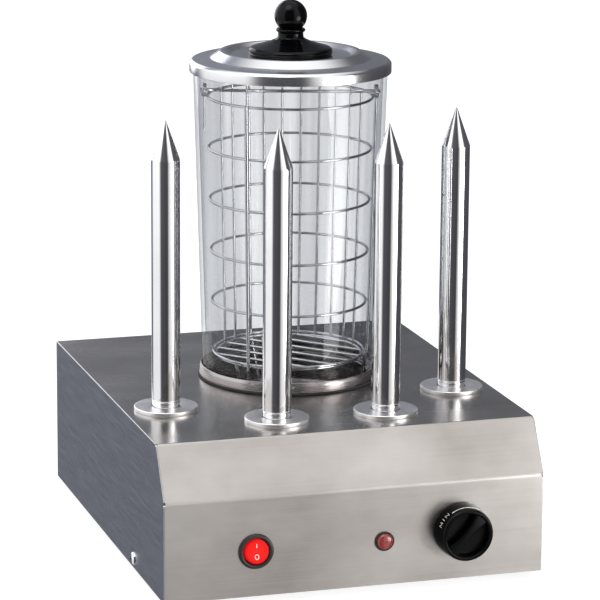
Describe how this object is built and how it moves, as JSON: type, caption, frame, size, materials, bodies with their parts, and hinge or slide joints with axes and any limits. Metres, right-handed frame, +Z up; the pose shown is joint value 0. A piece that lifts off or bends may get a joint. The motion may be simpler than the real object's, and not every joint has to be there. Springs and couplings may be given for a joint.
{
  "type": "hot dog warmer with bun spikes",
  "caption": "Counter-top hot dog warmer: folded steel casing, glass steaming jar with lifting wire basket and lid, heated bun spikes, rocker switch, lamp and thermostat dial.",
  "frame": {"origin": "centre of the object's footprint box, on the surface that the rubber feet stand on", "axes": "+Z up, -Y towards the control panel, +X to the right when facing the control panel"},
  "size_m": [0.2898, 0.372, 0.4047],
  "materials": {
    "casing_steel": "fine horizontal brushing, satin",
    "polished_steel": "mirror-polished stainless steel",
    "basket_wire": "bright drawn stainless wire",
    "fastener_steel": "zinc-plated, satin",
    "heater_metal": "dull heat-darkened metal",
    "jar_glass": "clear borosilicate, fire-polished rims",
    "knob_black": "glossy phenolic",
    "switch_black": "semi-gloss moulded nylon",
    "rocker_red": "translucent red rocker, glossy",
    "lamp_red": "dark red lens, unlit",
    "rubber": "matte black silicone",
    "inner_plastic": "matte ceramic-filled plastic"
  },
  "bodies": {
    "base": {"casing_shell": "casing_steel", "rear_panel": "casing_steel", "base_plate": "casing_steel", "water_pan": "polished_steel", "seat_ring": "polished_steel", "bun_spike_1": "polished_steel", "bun_spike_2": "polished_steel", "bun_spike_3": "polished_steel", "bun_spike_4": "polished_steel", "spike_flange_1": "polished_steel", "spike_flange_2": "polished_steel", "spike_flange_3": "polished_steel", "spike_flange_4": "polished_steel", "side_screw_left": "fastener_steel", "side_screw_right": "fastener_steel", "heater_clamp": "fastener_steel", "heater_nut": "fastener_steel", "rear_screw_1": "fastener_steel", "rear_screw_2": "fastener_steel", "rear_screw_3": "fastener_steel", "rear_screw_4": "fastener_steel", "spike_nut_1": "fastener_steel", "spike_nut_2": "fastener_steel", "spike_nut_3": "fastener_steel", "spike_nut_4": "fastener_steel", "pan_heater": "heater_metal", "sensor_bulb": "heater_metal", "spike_heater_1": "heater_metal", "spike_heater_2": "heater_metal", "spike_heater_3": "heater_metal", "spike_heater_4": "heater_metal", "switch_housing": "switch_black", "indicator_body": "switch_black", "cable_gland": "switch_black", "indicator_lens": "lamp_red", "pan_gasket": "rubber", "rubber_foot_1": "rubber", "rubber_foot_2": "rubber", "rubber_foot_3": "rubber", "rubber_foot_4": "rubber", "thermostat_body": "inner_plastic", "terminal_block": "inner_plastic"},
    "jar": {"glass_jar": "jar_glass"},
    "lid": {"lid": "polished_steel", "lid_knob": "knob_black", "lid_screw": "polished_steel"},
    "basket": {"basket_hoop_1": "basket_wire", "basket_hoop_2": "basket_wire", "basket_hoop_3": "basket_wire", "basket_hoop_4": "basket_wire", "basket_hoop_5": "basket_wire", "basket_hoop_6": "basket_wire", "basket_upright_1": "basket_wire", "basket_upright_2": "basket_wire", "basket_upright_3": "basket_wire", "basket_cage": "basket_wire"},
    "bail": {"basket_bail": "basket_wire"},
    "rocker": {"rocker_button": "rocker_red"},
    "dial": {"thermostat_knob": "knob_black", "thermostat_shaft": "fastener_steel"}
  },
  "joints": [
    {"name": "jar_lift", "type": "slide", "parent": "base", "child": "jar", "axis": [0, 0, 1], "range_m": [0, 0.16]},
    {"name": "lid_lift", "type": "slide", "parent": "jar", "child": "lid", "axis": [0, 0, 1], "range_m": [0, 0.3]},
    {"name": "basket_lift", "type": "slide", "parent": "jar", "child": "basket", "axis": [0, 0, 1], "range_m": [0, 0.24]},
    {"name": "bail_swing", "type": "hinge", "parent": "basket", "child": "bail", "pos_m": [0.006, 0.022, 0.336], "axis": [0.9563, -0.2924, 0], "range_deg": [0, 100]},
    {"name": "rocker_tilt", "type": "hinge", "parent": "base", "child": "rocker", "pos_m": [-0.075, -0.1672, 0.0394], "axis": [1, 0, 0], "range_deg": [0, 14]},
    {"name": "dial_turn", "type": "hinge", "parent": "base", "child": "dial", "pos_m": [0.0788, -0.1675, 0.043], "axis": [0, 1, 0], "range_deg": [0, 270]}
  ],
  "couplings": [
    {"joint": "basket_lift", "follows": "lid_lift", "ratio": 0.8},
    {"joint": "bail_swing", "follows": "lid_lift", "rad_per_m": 5.8}
  ]
}
